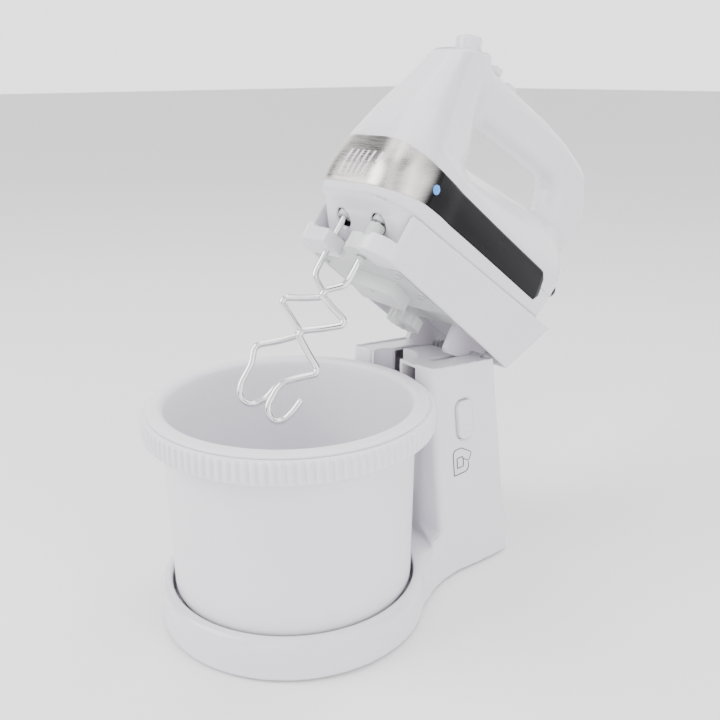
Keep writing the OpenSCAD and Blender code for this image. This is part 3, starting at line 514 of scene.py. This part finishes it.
def tube(name, pts, radius, sides, to):
    """A round wire along points, with rounded ends."""
    P = np.array(pts, float)
    T = np.gradient(P, axis=0)
    T /= np.linalg.norm(T, axis=1, keepdims=True)
    up = np.array([0.0, 0.0, 1.0]) if abs(T[0][2]) < 0.9 else np.array([1.0, 0.0, 0.0])
    n0 = np.cross(T[0], up)
    n0 /= np.linalg.norm(n0)
    rings, normal = [], n0
    k = np.array([0.0, 0.3, 0.6, 0.85, 0.98])
    head = [(P[0] - T[0] * radius * (1 - a), T[0], radius * math.sqrt(1 - (1 - a) ** 2)) for a in k[:-1]]
    tail = [(P[-1] + T[-1] * radius * a, T[-1], radius * math.sqrt(max(1 - a * a, 0))) for a in k[1:]]
    seq = head + [(p, t, float(radius)) for p, t in zip(P, T)] + tail
    for p, t, r in seq:
        normal = normal - t * normal.dot(t)
        normal /= np.linalg.norm(normal)
        b = np.cross(t, normal)
        a = 2 * np.pi * np.arange(sides) / sides
        rings.append(p + max(r, 0.02) * (np.cos(a)[:, None] * normal + np.sin(a)[:, None] * b))
    V = np.concatenate(rings)
    m = len(rings)
    faces = [(i * sides + j, i * sides + (j + 1) % sides,
              (i + 1) * sides + (j + 1) % sides, (i + 1) * sides + j)
             for i in range(m - 1) for j in range(sides)]
    faces += [tuple(reversed(range(sides))), tuple(range((m - 1) * sides, m * sides))]
    return mesh_object(name, V, faces, to)


# ------------------------------------------------------------ materials
def node_tree(name):
    m = bpy.data.materials.new(name)
    m.use_nodes = True
    nt = m.node_tree
    return m, nt, nt.nodes["Principled BSDF"]


def coords(nt):
    return nt.nodes.new("ShaderNodeTexCoord").outputs["Object"]


def noise(nt, vec, scale, detail=4.0, rough=0.55):
    n = nt.nodes.new("ShaderNodeTexNoise")
    n.inputs["Scale"].default_value = scale
    n.inputs["Detail"].default_value = detail
    n.inputs["Roughness"].default_value = rough
    nt.links.new(vec, n.inputs["Vector"])
    return n.outputs["Fac"]


def ramp(nt, fac, stops):
    r = nt.nodes.new("ShaderNodeValToRGB")
    r.color_ramp.elements[0].position = stops[0][0]
    r.color_ramp.elements[0].color = (*stops[0][1], 1)
    r.color_ramp.elements[1].position = stops[-1][0]
    r.color_ramp.elements[1].color = (*stops[-1][1], 1)
    for p, c in stops[1:-1]:
        e = r.color_ramp.elements.new(p)
        e.color = (*c, 1)
    nt.links.new(fac, r.inputs["Fac"])
    return r.outputs["Color"]


def grey(v):
    return (v, v, v)


def bump(nt, bsdf, height, strength, distance):
    b = nt.nodes.new("ShaderNodeBump")
    b.inputs["Strength"].default_value = strength
    b.inputs["Distance"].default_value = distance
    nt.links.new(height, b.inputs["Height"])
    nt.links.new(b.outputs["Normal"], bsdf.inputs["Normal"])


def plastic(name, color, rough, tint=0.03, grain=900.0, relief=0.06, sss=0.0, coat=0.0, transmission=0.0):
    """Moulded plastic: slow colour drift, uneven gloss, and a very fine skin."""
    m, nt, b = node_tree(name)
    v = coords(nt)
    slow = noise(nt, v, 14.0, 3.0)
    c0 = tuple(max(0.0, k * (1 - tint)) for k in color)
    c1 = tuple(min(1.0, k * (1 + tint)) for k in color)
    nt.links.new(ramp(nt, slow, [(0.3, c0), (0.7, c1)]), b.inputs["Base Color"])
    cloud = noise(nt, v, 45.0, 6.0, 0.6)
    gloss = [(0.3, grey(rough * 0.85)), (0.75, grey(rough * 1.2))]
    nt.links.new(ramp(nt, cloud, gloss), b.inputs["Roughness"])
    bump(nt, b, noise(nt, v, grain, 3.0), relief, 0.0004)
    if sss:
        b.inputs["Subsurface Weight"].default_value = sss
        b.inputs["Subsurface Radius"].default_value = (0.012, 0.011, 0.011)
        b.inputs["Subsurface Scale"].default_value = 0.25
    b.inputs["Coat Weight"].default_value = coat
    b.inputs["Coat Roughness"].default_value = 0.06
    b.inputs["Transmission Weight"].default_value = transmission
    b.inputs["IOR"].default_value = 1.49
    return m


def metal(name, color, rough, grain=60.0, stretch=(1, 1, 1), relief=0.05, vary=0.12):
    """Metal with grain drawn along one direction."""
    m, nt, b = node_tree(name)
    mp = nt.nodes.new("ShaderNodeMapping")
    mp.inputs["Scale"].default_value = stretch
    nt.links.new(coords(nt), mp.inputs["Vector"])
    g = noise(nt, mp.outputs["Vector"], grain, 5.0, 0.6)
    c0 = tuple(k * (1 - vary) for k in color)
    c1 = tuple(min(1.0, k * (1 + vary)) for k in color)
    nt.links.new(ramp(nt, g, [(0.3, c0), (0.7, c1)]), b.inputs["Base Color"])
    nt.links.new(ramp(nt, g, [(0.25, grey(rough * 0.75)), (0.75, grey(rough * 1.3))]), b.inputs["Roughness"])
    b.inputs["Metallic"].default_value = 1.0
    bump(nt, b, g, relief, 0.0002)
    return m


WHITE = plastic("white_gloss", (0.74, 0.72, 0.77), 0.20, 0.012, 1400.0, 0.03, sss=0.06, coat=0.35)
BOWL = plastic("bowl_satin", (0.79, 0.775, 0.82), 0.36, 0.012, 1100.0, 0.06, sss=0.10)
NYLON = plastic("nylon", (0.84, 0.86, 0.85), 0.34, 0.03, 700.0, 0.08, sss=0.35, transmission=0.35)
BLACK = plastic("black_gloss", (0.004, 0.004, 0.005), 0.30, 0.1, 1500.0, 0.01)
BLACK.node_tree.nodes["Principled BSDF"].inputs["Specular IOR Level"].default_value = 0.15
DARK = plastic("dark_plastic", (0.02, 0.02, 0.022), 0.45, 0.15, 800.0, 0.12)
RUBBER = plastic("rubber_grey", (0.10, 0.10, 0.105), 0.72, 0.12, 500.0, 0.25)
BOARD = plastic("board_green", (0.02, 0.16, 0.07), 0.4, 0.2, 300.0, 0.1)
LENS = plastic("lens_blue", (0.02, 0.30, 0.90), 0.12, 0.05, 900.0, 0.02, sss=0.3, coat=1.0)
LINE = plastic("line_ink", (0.03, 0.03, 0.035), 0.5, 0.1, 900.0, 0.02)
CHROME = metal("hook_chrome", (0.80, 0.80, 0.81), 0.05, 25.0, (1, 1, 1), 0.02, 0.04)
SPRING = metal("spring_steel", (0.55, 0.56, 0.58), 0.22, 120.0, (1, 1, 1), 0.05)
STEEL = metal("plain_steel", (0.55, 0.56, 0.58), 0.30, 180.0, (1, 1, 6), 0.08)
COPPER = metal("copper_wire", (0.70, 0.32, 0.14), 0.32, 260.0, (8, 1, 8), 0.25, 0.2)
BRONZE = metal("bronze", (0.55, 0.38, 0.18), 0.42, 300.0, (1, 1, 1), 0.15, 0.15)
IRON = metal("laminations", (0.30, 0.30, 0.32), 0.45, 420.0, (0.2, 6, 0.2), 0.3, 0.25)


def band_steel():
    """Brushed steel that darkens into the black strip towards the rear."""
    m, nt, b = node_tree("steel_brushed")
    v = coords(nt)
    mp = nt.nodes.new("ShaderNodeMapping")
    mp.inputs["Rotation"].default_value = (OPEN, 0, 0)
    mp.inputs["Scale"].default_value = (0.25, 0.25, 14)
    nt.links.new(v, mp.inputs["Vector"])
    g = noise(nt, mp.outputs["Vector"], 190.0, 6.0, 0.65)
    sep = nt.nodes.new("ShaderNodeSeparateXYZ")
    nt.links.new(v, sep.inputs[0])
    # Distance along the head from the hinge, in metres
    along = nt.nodes.new("ShaderNodeMath")
    along.operation = "MULTIPLY"
    along.inputs[1].default_value = CS
    nt.links.new(sep.outputs["Y"], along.inputs[0])
    up = nt.nodes.new("ShaderNodeMath")
    up.operation = "MULTIPLY_ADD"
    up.inputs[1].default_value = -SN
    nt.links.new(sep.outputs["Z"], up.inputs[0])
    nt.links.new(along.outputs[0], up.inputs[2])
    base_y = (PY - SHIFT) / 1000 * CS - PZ / 1000 * SN
    fac = nt.nodes.new("ShaderNodeMapRange")
    fac.inputs["From Min"].default_value = base_y + (12 - PY) / 1000
    fac.inputs["From Max"].default_value = base_y + (25 - PY) / 1000
    fac.interpolation_type = "SMOOTHSTEP"
    nt.links.new(up.outputs[0], fac.inputs["Value"])
    grain = ramp(nt, g, [(0.3, (0.50, 0.475, 0.45)), (0.7, (0.66, 0.64, 0.61))])
    mix = nt.nodes.new("ShaderNodeMix")
    mix.data_type = "RGBA"
    nt.links.new(fac.outputs["Result"], mix.inputs["Factor"])
    nt.links.new(grain, mix.inputs["A"])
    mix.inputs["B"].default_value = (0.012, 0.012, 0.014, 1)
    nt.links.new(mix.outputs["Result"], b.inputs["Base Color"])
    b.inputs["Metallic"].default_value = 1.0
    rough = ramp(nt, g, [(0.25, grey(0.20)), (0.75, grey(0.36))])
    nt.links.new(rough, b.inputs["Roughness"])
    b.inputs["Anisotropic"].default_value = 0.6
    bump(nt, b, g, 0.12, 0.0002)
    return m


BAND = band_steel()


def finish_piece(o, mat, body, slot, *nodes):
    o.data.materials.clear()
    o.data.materials.append(mat)
    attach(o, body)
    if nodes:
        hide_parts(*nodes)
    return o


# ------------------------------------------------------------ head of the mixer
H = 1.15
up = solid("housing_upper", upper_shell, (-47, -15, 214), (47, 250, 376), H, head_frame, upper_plain)
finish_piece(up, WHITE, "mixer", "white_gloss", "upper_housing")
low = solid("housing_lower", lower_shell, (-47, -15, 174), (47, 250, 256), H, head_frame, lower_plain)
finish_piece(low, WHITE, "mixer", "white_gloss", "lower_housing")

stations = band_stations(PANEL_END, 40, 61)
FRONT = [(BAND_END, (1.0, 0.0))] + [s for s in stations if s[0] < 25] + [(BAND_END, (-1.0, 0.0))]
band = strip("band_steel", FRONT, LIFT, 22)


def panel(name, side):
    """The black strip along one side, from the band to its round rear end."""
    rest = [s for s in stations if side * s[1][0] > 0.999 and s[0] > 27]
    start = (BAND_END + 0.02, (side, 0.0))
    return strip(name, [start] + (rest[::-1] if side > 0 else rest), LIFT, 16, 5.5, PANEL_END)


right, left = panel("panel_right", 1.0), panel("panel_left", -1.0)


def outward(o):
    bm = bmesh.new()
    bm.from_mesh(o.data)
    bmesh.ops.recalc_face_normals(bm, faces=bm.faces)
    bm.to_mesh(o.data)
    bm.free()


def cut_with(o, cutter):
    m = o.modifiers.new("cut", "BOOLEAN")
    m.operation = "DIFFERENCE"
    m.solver = "EXACT"
    m.object = cutter
    dg = bpy.context.evaluated_depsgraph_get()
    me = bpy.data.meshes.new_from_object(o.evaluated_get(dg))
    o.modifiers.clear()
    o.data = me
    bpy.data.objects.remove(cutter)


def slot_cutters():
    """Slanted slots through the band's front."""
    verts, faces = [], []
    for i in range(-2, 4):
        a = math.radians(i * 13)
        t = math.radians(10)
        ring = [(1.25 * math.cos(b), (9.0 if math.sin(b) > 0 else -9.0) + 1.25 * math.sin(b))
                for b in np.linspace(0, 2 * math.pi, 24, endpoint=False)]
        n0 = len(verts)
        for depth in (-10.0, -48.0):
            for p, q in ring:
                u, w = p * math.cos(t) + q * math.sin(t), -p * math.sin(t) + q * math.cos(t)
                verts.append((u * math.cos(a) - depth * math.sin(a),
                              12 + u * math.sin(a) + depth * math.cos(a), 221 + w))
        for k in range(24):
            faces.append((n0 + k, n0 + (k + 1) % 24, n0 + 24 + (k + 1) % 24, n0 + 24 + k))
        faces.append(tuple(reversed(range(n0, n0 + 24))))
        faces.append(tuple(range(n0 + 24, n0 + 48)))
    return mesh_object("cutters", verts, faces, head_frame, False)


cutter = slot_cutters()
outward(band)
outward(cutter)
cut_with(band, cutter)
band.data.shade_smooth()
band.data.set_sharp_from_angle(angle=math.radians(30))
finish_piece(band, BAND, "mixer", "steel_brushed", "nose_band")
finish_piece(right, BLACK, "mixer", "black_gloss", "side_panel_right")
finish_piece(left, BLACK, "mixer", "black_gloss", "side_panel_left")
for o in (right, left):
    outward(o)

# Blue lens: a shallow dome on the strip
hit = ray_hit(BAND_END, (1.0, 0.0), np.array([227.0]), LIFT)[0]
verts, faces = [], []
for i in range(6):
    r = 3.5 * math.cos(math.radians(15 * i))
    for k in range(32):
        a = 2 * math.pi * k / 32
        verts.append((hit[0] + 0.15 + 0.55 * math.sin(math.radians(15 * i)) - (0.5 if i == 0 else 0),
                      hit[1] + r * math.cos(a), hit[2] + r * math.sin(a)))
for i in range(5):
    for k in range(32):
        faces.append((i * 32 + k, i * 32 + (k + 1) % 32, (i + 1) * 32 + (k + 1) % 32, (i + 1) * 32 + k))
faces.append(tuple(range(160, 192)))
lens = mesh_object("lens_cap", verts, faces, head_frame)
finish_piece(lens, LENS, "mixer", "lens_blue", "indicator_lens")

# Eject knob: a rounded drum with a step at its foot
knob_profile = rounded([(0.02, -24), (5.4, -24), (5.4, -21.2), (3.6, -21.2), (3.6, -9.4), (6.9, -9.4),
                        (6.9, -1), (10.2, -1), (10.2, 3.4), (10.0, 3.7), (10.0, 10.2), (7.5, 11.2),
                        (0.02, 11.5)],
                       [0, .3, .3, .3, .3, .3, .3, .4, .2, .2, 1.8, 2.5, 0], 5)
knob = lathe("eject_knob", knob_profile, KNOB, 64, head_frame, KNOB_TILT)
finish_piece(knob, WHITE, "eject_button", "white_gloss", "eject_button")
sw = solid("speed_slider", switch, (-7, 60, 344), (7, 82, 372), 0.4, head_frame)
finish_piece(sw, WHITE, "speed_switch", "white_gloss", "speed_switch")
tb = solid("turbo_key", turbo, (-9, 80, 354), (9, 102, 372), 0.5, head_frame)
finish_piece(tb, WHITE, "turbo_button", "white_gloss", "turbo_button")

# ------------------------------------------------------------ arm
arm = solid("arm_shell", tray, (-49.5, -9, 162), (49.5, 223, 220), 1.1, head_frame)
finish_piece(arm, WHITE, "arm", "white_gloss", "arm_tray")

# ------------------------------------------------------------ stand
st = solid("stand_shell", stand, (-99, -99, 0), (99, 180, 174), 1.3, stand_frame)
finish_piece(st, WHITE, "stand", "white_gloss", "stand_housing")
bt = solid("release_key", button, (36, 110, 104), (60, 154, 146), 0.6, stand_frame)
finish_piece(bt, WHITE, "release", "white_gloss", "release_button")

# ------------------------------------------------------------ bowl
outer = arc((74, 32), 12.8, -90, -8, 12)
inner = arc((72, 36), 11.6, -8, -90, 12)
profile = ([(0.02, 19.4), (59.8, 19.4), (60.2, 17.3), (64.2, 17.3), (64.8, 19.3), (73, 19.2)] + outer
           + [(88.9, 150), (90.6, 156.5), (91.2, 159.4), (96.8, 160.0), (98.3, 160.7), (98.8, 161.8),
              (97.6, 162.9), (94.5, 163.5), (91, 163.7), (88.6, 163.1), (87.0, 161.0), (86.5, 157)]
           + inner + [(71.4, 24.4), (0.02, 24.4)])
bowl = lathe("bowl_shell", rounded(profile, 0.9, 3), (0, 0, 0), 224, stand_frame)
finish_piece(bowl, BOWL, "bowl", "bowl_satin", "bowl")

ribs = 112
per = 14
verts, faces = [], []
levels = [(142.8, 97.6, 0), (143.0, 99.6, 0), (144.4, 100.4, 0), (144.8, 100.9, 0.35),
          (145.8, 101.2, 0.9), (147.5, 101.2, 1), (157.6, 101.2, 1), (159.2, 101.1, 0.9),
          (160.2, 100.6, 0.35), (160.5, 99.8, 0), (160.55, 91.0, 0), (158.3, 91.0, 0),
          (158.3, 97.3, 0), (143.0, 97.3, 0)]
for i in range(ribs * per):
    a = 2 * math.pi * i / (ribs * per)
    w = math.cos(2 * math.pi * ((i % per) / per))
    bump_r = 1.8 * (0.5 + 0.5 * math.tanh(2.6 * w) / math.tanh(2.6))
    for z, r, k in levels:
        q = r - 0.1 + (bump_r - 0.2) * k
        verts.append((q * math.cos(a), q * math.sin(a), z))
n, m = ribs * per, len(levels)
for i in range(n):
    for j in range(m):
        faces.append((i * m + j, ((i + 1) % n) * m + j, ((i + 1) % n) * m + (j + 1) % m, i * m + (j + 1) % m))
ring = mesh_object("ring_ribs", verts, faces, stand_frame)
finish_piece(ring, BOWL, "bowl", "bowl_satin", "bowl_ring")

# ------------------------------------------------------------ dough hooks
LEFT = [(0, 190), (0, 147), (1.5, 142.5), (11.5, 135), (12.2, 131), (1, 124.5), (-10, 119), (-11, 115),
        (0, 108.5), (9.5, 103), (10.5, 99), (0, 89), (-11.5, 80), (-12.5, 76), (-9, 66), (-9, 50),
        (-6, 42.5), (0, 39.5), (6.5, 41.5), (11, 48), (13.5, 58)]
RIGHT = [(0, 190), (0, 145), (-1.5, 140.5), (-11, 132), (-12, 128), (-1, 123), (9.5, 119.5),
         (10.5, 115.5), (0, 107.5), (-12, 99.5), (-13, 95.5), (-2, 88), (9, 81), (9.8, 77), (0, 69),
         (-7, 62), (-9, 56), (-9, 44), (-6, 38.5), (0, 36), (5, 39), (8, 48), (9, 56)]
for side, name, path, body_name in ((-1, "hook_wire_left", LEFT, "hook_left"),
                                    (1, "hook_wire_right", RIGHT, "hook_right")):
    p = rounded([(0, 236)] + path[1:], 3.6, 6)
    c = math.cos(math.radians(45))
    pts = [(side * HOOK_X + a * c, HOOK_Y + a * c, z) for a, z in p]
    wire = tube(name, pts, 2.4, 20, head_frame)
    finish_piece(wire, CHROME, body_name, "hook_chrome", "dough_hook_" + ("left" if side < 0 else "right"))

# ------------------------------------------------------------ printed lines
def on_side(y, z):
    """Point on the column's right side."""
    return (COLUMN_HALF - COLUMN_SLOPE * z, y, z)


def line(name, pts, radius, mat, body, slot, to):
    o = tube(name, pts, radius, 8, to)
    return finish_piece(o, mat, body, slot)


sketch = [[(117, 83), (117, 100), (119, 103), (127, 103)], [(117, 83), (131, 83), (134, 86), (134, 90)],
          [(121, 88), (121, 96), (128, 96), (128, 88), (121, 88)],
          [(127, 103), (138, 97), (135, 91), (128, 94)]]
for k, path in enumerate(sketch):
    pts = [on_side(y, z) for y, z in rounded(path, 1.5, 4)]
    sunk = [(p[0] - 0.08, p[1], p[2]) for p in pts]
    line("mark_%d" % k, sunk, 0.28, LINE, "stand", "black_gloss", stand_frame)

# ------------------------------------------------------------ materials of the kept CAD nodes
KEEP = {"white_gloss": WHITE, "bowl_satin": BOWL, "nylon": NYLON, "steel_brushed": BAND,
        "black_gloss": BLACK, "lens_blue": LENS, "hook_chrome": CHROME, "spring_steel": SPRING,
        "plain_steel": STEEL, "rubber_grey": RUBBER, "copper_wire": COPPER, "bronze": BRONZE,
        "laminations": IRON, "dark_plastic": DARK, "board_green": BOARD}
for sp in frame["record"]["subparts"]:
    o = NODES[sp["node"]]
    o.data.materials.clear()
    o.data.materials.append(KEEP[sp["material_slot"]])
NODES["gearbox_housing"].data.materials[0] = NYLON

# ------------------------------------------------------------ room: pale floor, soft light, camera
REACH = 15
floor = mesh_object("floor", [(-REACH, -REACH, 0), (REACH, -REACH, 0), (REACH, REACH, 0), (-REACH, REACH, 0)],
                    [(0, 1, 2, 3)], None, False)
floor.data.materials.append(plastic("floor_paper", (0.96, 0.96, 0.965), 0.75, 0.004, 300.0, 0.02))


def studio_world():
    """White room with dark upright flats above the horizon, which chrome and steel mirror."""
    world = bpy.data.worlds.new("studio")
    world.use_nodes = True
    nt = world.node_tree
    back = nt.nodes["Background"]
    v = nt.nodes.new("ShaderNodeTexCoord").outputs["Generated"]
    wave = nt.nodes.new("ShaderNodeTexGradient")
    wave.gradient_type = "RADIAL"
    nt.links.new(v, wave.inputs["Vector"])
    turns = nt.nodes.new("ShaderNodeMath")
    turns.operation = "MULTIPLY"
    turns.inputs[1].default_value = 5 * 2 * math.pi
    nt.links.new(wave.outputs["Fac"], turns.inputs[0])
    sine = nt.nodes.new("ShaderNodeMath")
    sine.operation = "SINE"
    nt.links.new(turns.outputs[0], sine.inputs[0])
    flats = nt.nodes.new("ShaderNodeMapRange")
    flats.inputs["From Min"].default_value = 0.0
    flats.inputs["From Max"].default_value = 0.15
    nt.links.new(sine.outputs[0], flats.inputs["Value"])
    sep = nt.nodes.new("ShaderNodeSeparateXYZ")
    nt.links.new(v, sep.inputs[0])
    rise = nt.nodes.new("ShaderNodeMapRange")
    rise.inputs["From Min"].default_value = 0.16
    rise.inputs["From Max"].default_value = 0.24
    nt.links.new(sep.outputs["Z"], rise.inputs["Value"])
    both = nt.nodes.new("ShaderNodeMath")
    both.operation = "MULTIPLY"
    nt.links.new(flats.outputs["Result"], both.inputs[0])
    nt.links.new(rise.outputs["Result"], both.inputs[1])
    shade = [(0.0, (1.0, 0.995, 1.0)), (1.0, (0.04, 0.04, 0.045))]
    nt.links.new(ramp(nt, both.outputs[0], shade), back.inputs["Color"])
    back.inputs["Strength"].default_value = 2.4
    scene.world = world


studio_world()


def area(name, at, aim, size, power):
    l = bpy.data.lights.new(name, "AREA")
    l.shape = "RECTANGLE"
    l.size, l.size_y = size
    l.energy = power
    o = bpy.data.objects.new(name, l)
    scene.collection.objects.link(o)
    o.location = at
    o.rotation_euler = (Vector(aim) - Vector(at)).to_track_quat("-Z", "Y").to_euler()
    return o


area("key", (-0.6, -1.3, 1.3), (0, 0, 0.2), (1.2, 1.2), 26)
area("fill", (1.5, -0.2, 0.8), (0, 0, 0.2), (1.0, 1.4), 10)
area("top", (0.1, 0.2, 1.7), (0, 0, 0.2), (1.4, 1.4), 16)

cam = bpy.data.cameras.new("view")
cam.lens = 44.24
cam.sensor_width = 36
cam.clip_start = 0.02
co = bpy.data.objects.new("view", cam)
scene.collection.objects.link(co)
scene.camera = co
eye = Vector((0.4596, (-359.1 - SHIFT) / 1000, 0.3819))
fwd = Vector((-0.6960, 0.6466, -0.3122))
q = fwd.to_track_quat("-Z", "Y")
co.location = eye
co.rotation_euler = (q.to_matrix() @ Matrix.Rotation(math.radians(-0.164), 3, "Z")).to_euler()
